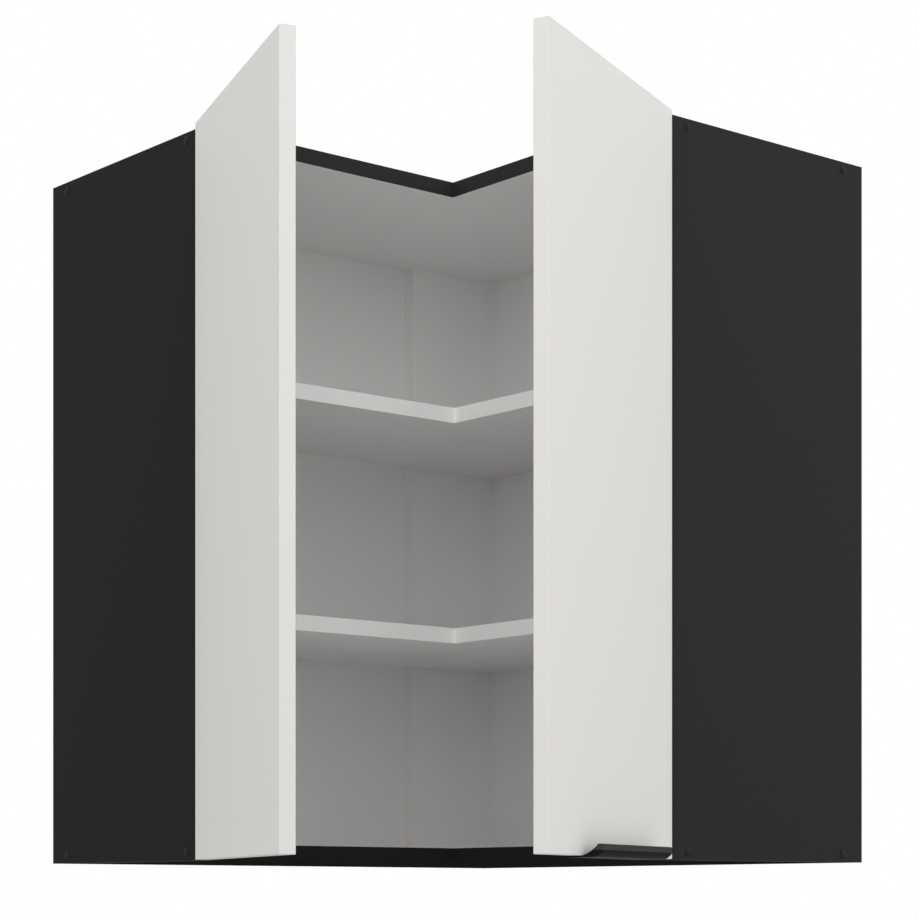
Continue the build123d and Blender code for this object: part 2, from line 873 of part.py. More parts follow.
make_level_panel("top_panel", carcass_height - board_thickness, carcass_height - board_thickness)
make_level_panel("bottom_panel", 0.0, board_thickness - groove_depth)
make_corner_board()
make_back_panel(left, back_setback - back_thickness, left_nail_places())
make_back_panel(right, back_setback, right_nail_places())
for name, level in shelf_levels.items():
    make_shelf(f"{name}_shelf", level)
make_end_panel_screws()
make_screw_caps()
make_panel_dowels()
make_corner_board_screws()
make_shelf_corner_screws()
make_back_nails()
make_shelf_pins()
make_hanger_screws()
make_hanger_adjusters()
make_arm_pins()
make_plate_screws()
make_arm_screws()
make_door_handle()
make_handle_screws()
for side in sides:
    make_end_panel(side)
    make_hanger_housing(side)
    make_hanger_hook(side)
    make_door_panel(side)
    make_bumpers(side)
    make_cup_pins(side)
    make_cup_screws(side)
    for place, level in hinge_levels.items():
        make_hinge_plate(side, f"{side.name}_{place}_hinge_plate", level)
        make_hinge_arm(side, f"{side.name}_{place}_hinge_arm", level)
        make_hinge_link(side, f"{side.name}_{place}_hinge_link", level)
        make_hinge_cup(side, f"{side.name}_{place}_hinge_cup", level)
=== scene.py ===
"""Corner wall cabinet with both doors open: finishes, fittings, studio and camera."""

import json
import logging
import math
from dataclasses import dataclass
from enum import Enum
from functools import reduce
from typing import Any

import bmesh
import bpy
import numpy as np
from mathutils import Matrix, Vector

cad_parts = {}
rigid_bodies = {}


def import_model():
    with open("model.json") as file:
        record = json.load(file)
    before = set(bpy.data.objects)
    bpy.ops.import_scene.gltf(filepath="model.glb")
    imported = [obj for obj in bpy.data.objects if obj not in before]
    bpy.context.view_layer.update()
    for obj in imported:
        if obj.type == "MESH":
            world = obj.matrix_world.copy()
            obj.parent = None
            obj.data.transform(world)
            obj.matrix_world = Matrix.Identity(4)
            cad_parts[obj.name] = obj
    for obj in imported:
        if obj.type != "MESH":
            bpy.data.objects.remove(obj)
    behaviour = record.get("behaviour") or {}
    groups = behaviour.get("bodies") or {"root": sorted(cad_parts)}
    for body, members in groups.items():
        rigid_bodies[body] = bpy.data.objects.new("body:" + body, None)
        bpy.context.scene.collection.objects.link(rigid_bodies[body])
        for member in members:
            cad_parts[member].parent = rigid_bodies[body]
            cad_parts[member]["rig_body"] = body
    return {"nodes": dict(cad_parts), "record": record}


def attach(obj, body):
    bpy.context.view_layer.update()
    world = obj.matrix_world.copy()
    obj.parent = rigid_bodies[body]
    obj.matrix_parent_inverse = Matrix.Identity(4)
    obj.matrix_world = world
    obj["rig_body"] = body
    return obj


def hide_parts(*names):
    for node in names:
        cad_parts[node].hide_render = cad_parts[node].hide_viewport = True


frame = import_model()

log = logging.getLogger("corner_cabinet")

Colour = tuple[float, float, float]
Direction = tuple[float, float, float]

MM = 0.001
SIDES = ("left", "right")
UP: Direction = (0.0, 0.0, 1.0)
DOWN: Direction = (0.0, 0.0, -1.0)
PLUS_X: Direction = (1.0, 0.0, 0.0)
MINUS_X: Direction = (-1.0, 0.0, 0.0)
PLUS_Y: Direction = (0.0, 1.0, 0.0)
MINUS_Y: Direction = (0.0, -1.0, 0.0)

# Distances within which vertices are one, or lie on a fastener's end, and angles between faces.
MERGED_WITHIN = 0.002 * MM
END_WITHIN = 0.01 * MM
FLAT_BELOW = math.radians(0.5)
EASED_ABOVE = math.radians(40)
SHARP_ABOVE = math.radians(35)


def srgb(red: float, green: float, blue: float) -> Colour:
    """Turn a colour of 0 to 255 as it shows on a screen into the linear colour of a surface.

    Args:
        red: Red, 0 to 255.
        green: Green, 0 to 255.
        blue: Blue, 0 to 255.

    Returns:
        The same colour in linear light.
    """
    shares = [channel / 255 for channel in (red, green, blue)]
    linear = [s / 12.92 if s <= 0.04045 else ((s + 0.055) / 1.055) ** 2.4 for s in shares]
    return (linear[0], linear[1], linear[2])


def scaled(colour: Colour, share: float) -> Colour:
    """Make a colour lighter or darker by a share."""
    return (colour[0] * share, colour[1] * share, colour[2] * share)


# ---------------------------------------------------------------- shader maths


class Value:
    """A socket of a shader graph that takes part in Python arithmetic."""

    def __init__(self, graph: "Graph", socket: bpy.types.NodeSocket) -> None:
        """Keep the graph and the output socket."""
        self.graph = graph
        self.socket = socket

    def __getitem__(self, name: str) -> "Value":
        """Return another output of the same node."""
        return Value(self.graph, self.socket.node.outputs[name])

    def _maths(self, operation: str, *terms: Any) -> "Value":
        """Add a Math node for an operation on these terms."""
        return self.graph.node("ShaderNodeMath", {"operation": operation}, *terms)

    def __add__(self, other: Any) -> "Value":
        """Return self + other."""
        return self._maths("ADD", self, other)

    def __radd__(self, other: Any) -> "Value":
        """Return other + self."""
        return self._maths("ADD", other, self)

    def __sub__(self, other: Any) -> "Value":
        """Return self - other."""
        return self._maths("SUBTRACT", self, other)

    def __rsub__(self, other: Any) -> "Value":
        """Return other - self."""
        return self._maths("SUBTRACT", other, self)

    def __mul__(self, other: Any) -> "Value":
        """Return self * other."""
        return self._maths("MULTIPLY", self, other)

    def __rmul__(self, other: Any) -> "Value":
        """Return other * self."""
        return self._maths("MULTIPLY", other, self)

    def __gt__(self, other: Any) -> "Value":
        """Return 1 where self is greater than other, else 0."""
        return self._maths("GREATER_THAN", self, other)

    def __lt__(self, other: Any) -> "Value":
        """Return 1 where self is less than other, else 0."""
        return self._maths("LESS_THAN", self, other)

    def __abs__(self) -> "Value":
        """Return the size of self without its sign."""
        return self._maths("ABSOLUTE", self)

    def either(self, other: Any) -> "Value":
        """Return the greater of two masks."""
        return self._maths("MAXIMUM", self, other)

    def sine(self) -> "Value":
        """Return the sine of self in radians."""
        return self._maths("SINE", self)

    def rise(self, low: float, high: float) -> "Value":
        """Rise smoothly from 0 to 1 while self goes from low to high.

        Args:
            low: Value at which it is still 0.
            high: Value from which it is 1.

        Returns:
            The risen value.
        """
        return self.graph.node(
            "ShaderNodeMapRange", {"interpolation_type": "SMOOTHSTEP"}, self, low, high, 0.0, 1.0
        )


def union(masks: list[Value]) -> Value:
    """Return a mask that is 1 where any of these is 1."""
    return reduce(Value.either, masks)


class Graph:
    """The node graph of one material, with short calls for what the finishes need."""

    # A Mix node has sockets for every type; these are its factor and its colours.
    MIX_INPUTS = (0, 6, 7)
    MIX_RESULT = 2

    def __init__(self, name: str) -> None:
        """Start a material with a Principled shader.

        Args:
            name: Name of the material.
        """
        self.material = bpy.data.materials.new(name)
        self.material.use_nodes = True
        self.tree = self.material.node_tree
        self.shader = self.tree.nodes["Principled BSDF"]

    def _feed(self, socket: bpy.types.NodeSocket, value: Any) -> None:
        """Link a value to a socket, or write a plain number or colour on it.

        Args:
            socket: Socket of a node's input.
            value: A value of this graph, a number, a colour or a vector.
        """
        if isinstance(value, Value):
            self.tree.links.new(value.socket, socket)
        elif isinstance(value, tuple) and socket.type == "RGBA":
            socket.default_value = (*value, 1.0)
        else:
            socket.default_value = value

    def node(self, kind: str, settings: dict[str, Any], *values: Any, **named: Any) -> Value:
        """Add a node, set its settings and then its inputs.

        Args:
            kind: Blender's type name of the node.
            settings: Its settings; "stops" gives a ramp's positions and colours.
            values: Inputs by position.
            named: Inputs by name, with an underscore for a space.

        Returns:
            The node's first output.
        """
        made = self.tree.nodes.new(kind)
        for key, setting in settings.items():
            if key == "stops":
                ramp = made.color_ramp.elements
                while len(ramp) < len(setting):
                    ramp.new(0.5)
                for element, (position, colour) in zip(ramp, setting):
                    element.position = position
                    element.color = (*colour, 1.0)
            else:
                setattr(made, key, setting)
        for socket, value in zip(made.inputs, values):
            self._feed(socket, value)
        for key, value in named.items():
            self._feed(made.inputs[key.replace("_", " ")], value)
        return Value(self, made.outputs[0])

    def place(self) -> Value:
        """Return the place on the piece, in metres in the cabinet's own frame."""
        return self.node("ShaderNodeTexCoord", {})["Object"]

    def stretched(self, place: Value, scale: Direction) -> Value:
        """Return a place with each axis scaled, for a pattern that runs one way."""
        return self.node("ShaderNodeMapping", {}, Vector=place, Scale=scale)

    def along(self, place: Value, direction: Direction) -> Value:
        """Return how far a place lies along a direction."""
        made = self.node("ShaderNodeVectorMath", {"operation": "DOT_PRODUCT"}, place, direction)
        return made["Value"]

    def noise(self, place: Value, scale: float, detail: float = 2.0, rough: float = 0.5) -> Value:
        """Make noise from 0 to 1.

        Args:
            place: Place on the piece.
            scale: Features to the metre.
            detail: Number of finer layers.
            rough: Share of each finer layer.

        Returns:
            The noise.
        """
        return self.node(
            "ShaderNodeTexNoise", {}, Vector=place, Scale=scale, Detail=detail, Roughness=rough
        )

    def flakes(self, place: Value, scale: float) -> Value:
        """Return a cell pattern, each cell with a value of its own from 0 to 1."""
        cells = self.node("ShaderNodeTexVoronoi", {}, Vector=place, Scale=scale)["Color"]
        return self.node("ShaderNodeSeparateColor", {}, cells)

    def blend(self, share: Any, first: Any, second: Any) -> Value:
        """Mix two colours.

        Args:
            share: 0 for the first colour, 1 for the second.
            first: A colour or a colour value.
            second: A colour or a colour value.

        Returns:
            The mixed colour.
        """
        mix = self.node("ShaderNodeMix", {"data_type": "RGBA"}).socket.node
        for number, value in zip(self.MIX_INPUTS, (share, first, second)):
            self._feed(mix.inputs[number], value)
        return Value(self, mix.outputs[self.MIX_RESULT])

    def varied(self, share: Value, colour: Colour, low: float, high: float) -> Value:
        """Return a colour that varies between two multiples of itself."""
        return self.blend(share, scaled(colour, low), scaled(colour, high))

    def ramp(self, value: Value, *stops: tuple[float, Colour]) -> Value:
        """Return the colour of a ramp at a value."""
        return self.node("ShaderNodeValToRGB", {"stops": stops}, value)

    def bump(self, height: Value, depth: float, strength: float) -> Value:
        """Return a normal for a relief of this depth in metres."""
        return self.node("ShaderNodeBump", {}, Strength=strength, Distance=depth, Height=height)

    def finish(self, **sockets: Any) -> bpy.types.Material:
        """Feed the shader's sockets.

        Args:
            sockets: Inputs by name, with an underscore for a space.

        Returns:
            The material.
        """
        for key, value in sockets.items():
            self._feed(self.shader.inputs[key.replace("_", " ")], value)
        return self.material


# ---------------------------------------------------------------- finishes


class Finish:
    """A finish that makes its material once and hands out the same one after that."""

    _made: dict[str, bpy.types.Material] = {}

    def material(self) -> bpy.types.Material:
        """Make the material of this finish, or find it if it is made.

        Returns:
            The material.
        """
        key = repr(self)
        if key not in Finish._made:
            Finish._made[key] = self.paint()
        return Finish._made[key]

    def paint(self) -> bpy.types.Material:
        """Build the material's nodes."""
        raise NotImplementedError


class Patch(Enum):
    """What a face of a board shows where it isn't the board's main facing."""

    INSIDE = "light facing"
    CORE = "raw chipboard"
    BAND = "edge band"


@dataclass(frozen=True)
class Face:
    """One flat face of a board, by its outward direction and its distance along it."""

    patch: Patch
    outward: Direction
    plane: float


@dataclass(frozen=True)
class FacedBoard(Finish):
    """Melamine-faced chipboard: a main facing, other faces by place, and banded edges."""

    name: str
    facing: Colour
    faces: tuple[Face, ...]
    inside: Colour
    roughness: float = 0.6
    gloss: float = 0.05
    skin: float = 0.1 * MM
    band: float = 0.8 * MM
    joint: float = 0.12 * MM
    rawness: float = 4.0

    def paint(self) -> bpy.types.Material:
        """Build the facing, the raw core and the fine joints of the edge bands.

        Returns:
            The material.
        """
        graph = Graph(self.name)
        place = graph.place()
        pearl = graph.noise(place, scale=2400.0)
        cloud = graph.noise(place, scale=7.0, detail=3.0)
        colour = graph.varied(cloud, self.facing, 0.95, 1.05)
        light = graph.varied(cloud, self.inside, 0.985, 1.015)
        chips = graph.flakes(graph.stretched(place, (1.0, 1.0, 2.2)), scale=640.0)
        fibres = graph.noise(place, scale=1700.0, detail=3.0)
        core = graph.ramp(
            chips * 0.55 + fibres * 0.45,
            (0.15, srgb(146, 113, 80)),
            (0.5, srgb(178, 144, 106)),
            (0.85, srgb(200, 170, 131)),
        )
        cores: list[Value] = []
        joints: list[Value] = []
        for face in self.faces:
            depth = graph.along(place, face.outward) - face.plane
            if face.patch is Patch.INSIDE:
                colour = graph.blend(depth > -self.skin, colour, light)
            elif face.patch is Patch.CORE:
                cores.append(depth > -self.skin)
            else:
                joints.append(abs(depth + self.band) < self.joint)
        relief = pearl * 0.5
        rough = self.roughness + (cloud - 0.5) * 0.06
        if joints:
            line = union(joints)
            colour = graph.blend(line * 0.45, colour, scaled(self.facing, 0.35))
            relief = relief - line
        if cores:
            raw = union(cores)
            colour = graph.blend(raw, colour, core)
            relief = relief + raw * (chips + fibres) * self.rawness
            rough = rough + raw * 0.35
        return graph.finish(
            Base_Color=colour,
            Roughness=rough,
            Specular_IOR_Level=self.gloss,
            Normal=graph.bump(relief, depth=0.04 * MM, strength=0.6),
        )


@dataclass(frozen=True)
class DoorLaminate(Finish):
    """Matt door laminate, with the fine joint of the edge band round each face."""

    name: str
    colour: Colour
    corner: Direction
    along: Direction
    width: float
    bottom: float
    top: float
    band: float = 1.0 * MM
    joint: float = 0.12 * MM
    skin: float = 0.4 * MM
    band_tone: float = 0.92

    def paint(self) -> bpy.types.Material:
        """Build the laminate and its bands from the place along and up the door.

        Returns:
            The material.
        """
        graph = Graph(self.name)
        place = graph.place()
        cloud = graph.noise(place, scale=5.0, detail=3.0)
        grain = graph.noise(place, scale=3200.0)
        speck = graph.noise(place, scale=900.0, detail=4.0, rough=0.7).rise(0.62, 0.74)
        base = graph.varied(cloud, self.colour, 0.985, 1.015)
        colour = graph.blend(speck * 0.06, base, scaled(self.colour, 0.8))
        start = sum(a * b for a, b in zip(self.corner, self.along))
        run = graph.along(place, self.along) - start
        height = graph.along(place, UP)
        joints: list[Value] = []
        bands: list[Value] = []
        for position, near, far in ((run, 0.0, self.width), (height, self.bottom, self.top)):
            for inward in (position - near, far - position):
                joints.append(abs(inward - self.band) < self.joint)
                bands.append(inward < self.skin)
        line = union(joints)
        colour = graph.blend(union(bands), colour, scaled(self.colour, self.band_tone))
        colour = graph.blend(line * 0.3, colour, scaled(self.colour, 0.45))
        return graph.finish(
            Base_Color=colour,
            Roughness=0.48 + cloud * 0.08,
            Normal=graph.bump(grain * 0.5 - line, depth=0.04 * MM, strength=0.5),
        )


@dataclass(frozen=True)
class BackBoard(Finish):
    """Hardboard: lacquered on the inside, brown with a pressed mesh on the wall side."""

    name: str
    lacquer: Colour
    outward: Direction
    plane: float
    across: Direction
    brown: Colour = srgb(123, 86, 54)
    mesh_pitch: float = 1.6 * MM
    skin: float = 0.4 * MM

    def paint(self) -> bpy.types.Material:
        """Build the lacquered side, the mesh side and its fibres.

        Returns:
            The material.
        """
        graph = Graph(self.name)
        place = graph.place()
        cloud = graph.noise(place, scale=6.0, detail=3.0)
        fibre = graph.noise(place, scale=1100.0, detail=4.0, rough=0.65)
        wall_side = 1.0 - (graph.along(place, self.outward) - self.plane > -self.skin)
        turn = 2.0 * math.pi / self.mesh_pitch
        weft = (graph.along(place, self.across) * turn).sine()
        warp = (graph.along(place, UP) * turn).sine()
        mesh = (weft * warp) * 0.5 + 0.5
        brown = graph.varied(fibre * 0.7 + mesh * 0.3, self.brown, 0.6, 1.35)
        pale = graph.varied(cloud, self.lacquer, 0.985, 1.015)
        relief = fibre * 0.25 + wall_side * mesh * 2.0
        return graph.finish(
            Base_Color=graph.blend(wall_side, pale, brown),
            Roughness=0.5 + wall_side * 0.32,
            Normal=graph.bump(relief, depth=0.08 * MM, strength=0.6),
        )


@dataclass(frozen=True)
class PowderCoat(Finish):
    """Matt powder coat with a fine orange-peel skin, and painted shade below a set height where the
    lip turns under.
    """

    name: str
    colour: Colour
    roughness: float = 0.5
    gloss: float = 0.02
    # Height below which the coat is darkened, and the share of its colour left there: painted
    # shade.
    under_level: float = 5.4 * MM
    under_tone: float = 0.2

    def paint(self) -> bpy.types.Material:
        """Build the skin from two sizes of noise, and the painted shade on its lower part.

        Returns:
            The material.
        """
        graph = Graph(self.name)
        place = graph.place()
        peel = graph.noise(place, scale=1500.0)
        dust = graph.noise(place, scale=4200.0)
        cloud = graph.noise(place, scale=30.0)
        # Below this height the colour is darkened: painted shade on the lip's underside.
        shaded_lip = graph.along(place, UP) < self.under_level
        coat = graph.varied(cloud, self.colour, 0.92, 1.1)
        return graph.finish(
            Base_Color=graph.blend(shaded_lip, coat, scaled(self.colour, self.under_tone)),
            Roughness=self.roughness + (dust - 0.5) * 0.12,
            Specular_IOR_Level=self.gloss,
            Normal=graph.bump(peel + dust * 0.4, depth=0.03 * MM, strength=0.7),
        )


@dataclass(frozen=True)
class Moulded(Finish):
    """Injection-moulded plastic or silicone with a lightly sparked surface."""

    name: str
    colour: Colour
    roughness: float = 0.42
    opacity: float = 1.0
    gloss: float = 0.5

    def paint(self) -> bpy.types.Material:
        """Build the sparked surface and faint flow marks.

        Returns:
            The material.
        """
        graph = Graph(self.name)
        place = graph.place()
        spark = graph.noise(place, scale=3800.0)
        flow = graph.noise(graph.stretched(place, (1.0, 1.0, 0.3)), scale=60.0)
        return graph.finish(
            Base_Color=graph.varied(flow, self.colour, 0.95, 1.06),
            Roughness=self.roughness + (spark - 0.5) * 0.1,
            Specular_IOR_Level=self.gloss,
            Alpha=self.opacity,
            Normal=graph.bump(spark, depth=0.02 * MM, strength=0.6),
        )


@dataclass(frozen=True)
class Plated(Finish):
    """Plated steel with rolled lines and a faint cloudiness."""

    name: str
    colour: Colour
    roughness: float = 0.28

    def paint(self) -> bpy.types.Material:
        """Build the rolled lines and clouds of the plating.

        Returns:
            The material.
        """
        graph = Graph(self.name)
        place = graph.place()
        lines = graph.noise(graph.stretched(place, (1.0, 1.0, 14.0)), scale=420.0)
        cloud = graph.noise(place, scale=160.0, detail=3.0)
        return graph.finish(
            Base_Color=graph.varied(cloud, self.colour, 0.88, 1.04),
            Metallic=1.0,
            Roughness=self.roughness + cloud * 0.12 + (lines - 0.5) * 0.08,
            Normal=graph.bump(lines, depth=0.01 * MM, strength=0.4),
        )


@dataclass(frozen=True)
class Beech(Finish):
    """Plain beech with short dark flecks, for the dowels."""

    name: str
    colour: Colour = srgb(214, 182, 140)

    def paint(self) -> bpy.types.Material:
        """Build the grain and its flecks.

        Returns:
            The material.
        """
        graph = Graph(self.name)
        place = graph.place()
        grain = graph.noise(graph.stretched(place, (0.2, 0.2, 1.0)), scale=900.0, detail=3.0)
        specks = graph.noise(graph.stretched(place, (0.3, 0.3, 1.0)), scale=2600.0)
        fleck = specks.rise(0.6, 0.7)
        base = graph.varied(grain, self.colour, 0.8, 1.05)
        return graph.finish(
            Base_Color=graph.blend(fleck * 0.4, base, scaled(self.colour, 0.5)),
            Roughness=0.6 + grain * 0.1,
            Normal=graph.bump(grain, depth=0.05 * MM, strength=0.5),
        )


WHITE: Colour = (1.0, 1.0, 1.0)
LIGHT = srgb(248, 247, 246)
PALE = srgb(230, 228, 224)
ZINC = Plated("zinc plated steel", (0.62, 0.63, 0.65), 0.3)
NICKEL = Plated("nickel plated steel", (0.66, 0.64, 0.61), 0.22)


# ---------------------------------------------------------------- pieces


def dress(node: str, finish: Finish) -> None:
    """Give a CAD node a finish.

    Args:
        node: Name of the node.
        finish: Its finish.
    """
    piece = frame["nodes"][node]
    for slot in piece.material_slots:
        slot.material = finish.material()
    log.info("%s: dressed with %s", node, finish.material().name)


def body_of(node: str) -> str:
    """Return the name of the body that a CAD node belongs to."""
    return frame["nodes"][node]["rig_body"]


def slot_of(node: str) -> str:
    """Look up the record's material slot of a CAD node.

    Args:
        node: Name of the node.

    Returns:
        Name of its slot.
    """
    for entry in frame["record"]["subparts"]:
        if entry["node"] == node:
            return entry["material_slot"]
    raise KeyError(node)


def stand_in(piece: bpy.types.Object, node: str) -> None:
    """Let a piece take a node's place on the node's body, and look up the node's material slot.

    Args:
        piece: The piece.
        node: Name of the CAD node that it replaces.
    """
    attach(piece, body_of(node))
    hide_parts(node)
    slot_of(node)


def merged(node: str) -> bmesh.types.BMesh:
    """Copy a CAD node's mesh with its triangles joined.

    Args:
        node: Name of the node.

    Returns:
        The copy.
    """
    shape = bmesh.new()
    shape.from_mesh(frame["nodes"][node].data)
    bmesh.ops.remove_doubles(shape, verts=shape.verts, dist=MERGED_WITHIN)
    return shape


def evaluated(piece: bpy.types.Object, name: str) -> bpy.types.Object:
    """Turn a piece with modifiers into a new piece with a plain mesh.

    Args:
        piece: The piece; it is removed.
        name: Name of the new piece.

    Returns:
        The new piece.
    """
    graph = bpy.context.evaluated_depsgraph_get()
    mesh = bpy.data.meshes.new_from_object(piece.evaluated_get(graph))
    mesh.name = name
    bpy.data.objects.remove(piece)
    made = bpy.data.objects.new(name, mesh)
    bpy.context.scene.collection.objects.link(made)
    return made


def keep_flats_flat(mesh: bpy.types.Mesh, crease: float) -> None:
    """Shade a mesh smoothly, but not from its faces into their eased edges.

    Args:
        mesh: A mesh whose easings have material 1; all of it gets material 0.
        crease: Angle in degrees from which an edge stays sharp.
    """
    mesh.shade_smooth()
    shape = bmesh.new()
    shape.from_mesh(mesh)
    for edge in shape.edges:
        kinds = {face.material_index for face in edge.link_faces}
        edge.smooth = len(kinds) == 1 and edge.calc_face_angle(0.0) < math.radians(crease)
    for face in shape.faces:
        face.material_index = 0
    shape.to_mesh(mesh)
    shape.free()
    mesh.materials.pop(index=1)


def ease(node: str, width: float, finish: Finish, crease: float = 50.0) -> None:
    """Replace a node by the same shape with its sharp edges eased.

    Args:
        node: Name of the node.
        width: Width of the easing in metres.
        finish: Finish of the piece.
        crease: Angle in degrees from which an edge stays sharp.
    """
    shape = merged(node)
    bmesh.ops.dissolve_limit(shape, angle_limit=FLAT_BELOW, verts=shape.verts, edges=shape.edges)
    mesh = bpy.data.meshes.new(node)
    shape.to_mesh(mesh)
    shape.free()
    piece = bpy.data.objects.new(node + "_draft", mesh)
    bpy.context.scene.collection.objects.link(piece)
    for _ in range(2):
        mesh.materials.append(finish.material())
    bevel = piece.modifiers.new("easing", "BEVEL")
    bevel.width = width
    bevel.segments = 2
    bevel.limit_method = "ANGLE"
    bevel.angle_limit = EASED_ABOVE
    bevel.miter_outer = "MITER_ARC"
    bevel.material = 1
    made = evaluated(piece, node + "_eased")
    keep_flats_flat(made.data, crease)
    stand_in(made, node)
    log.info("%s: eased by %.2f mm", node, width / MM)


@dataclass(frozen=True)
class Place:
    """A fastener's place: the middle of its outer end, and the way that end faces."""

    end: Vector
    outward: Vector


def islands(shape: bmesh.types.BMesh) -> list[list[bmesh.types.BMFace]]:
    """Part a mesh into its separate solids.

    Args:
        shape: The mesh.

    Returns:
        The faces of each solid.
    """
    seen: set[int] = set()
    found = []
    for first in shape.faces:
        if first.index in seen:
            continue
        seen.add(first.index)
        faces = [first]
        for face in faces:
            for edge in face.edges:
                for other in edge.link_faces:
                    if other.index not in seen:
                        seen.add(other.index)
                        faces.append(other)
        found.append(faces)
    return found


def turning_axis(faces: list[bmesh.types.BMFace]) -> tuple[np.ndarray, np.ndarray]:
    """Find the axis of a solid of revolution.

    Args:
        faces: The solid's faces.

    Returns:
        A point on the axis and its direction.
    """
    areas = np.array([face.calc_area() for face in faces])
    middles = np.array([face.calc_center_median() for face in faces])
    normals = np.array([face.normal for face in faces])
    spread, axes = np.linalg.eigh((normals * areas[:, None]).T @ normals)
    alone = 2 if spread[2] - spread[1] > spread[1] - spread[0] else 0
    return (middles * areas[:, None]).sum(0) / areas.sum(), axes[:, alone]


def fastener_places(node: str, wide_end: bool = True) -> list[Place]:
    """Find where the fasteners of a node sit.

    Args:
        node: A node of round fasteners.
        wide_end: Whether the outer end is the wider one, as on a screw.

    Returns:
        One place for each fastener.
    """
    shape = merged(node)
    places = []
    for faces in islands(shape):
        middle, axis = turning_axis(faces)
        points = np.array([vert.co for face in faces for vert in face.verts]) - middle
        run = points @ axis
        across = np.linalg.norm(points - np.outer(run, axis), axis=1)
        high = across[run > run.max() - END_WITHIN].max()
        low = across[run < run.min() + END_WITHIN].max()
        outward = axis if (high > low) == wide_end else -axis
        places.append(Place(Vector(middle + outward * (points @ outward).max()), Vector(outward)))
    shape.free()
    return places


# ---------------------------------------------------------------- repeated fittings


class Recess(Enum):
    """The drive of a screw's head."""

    CROSS = "cross"
    HEX = "hex"
    NONE = "none"


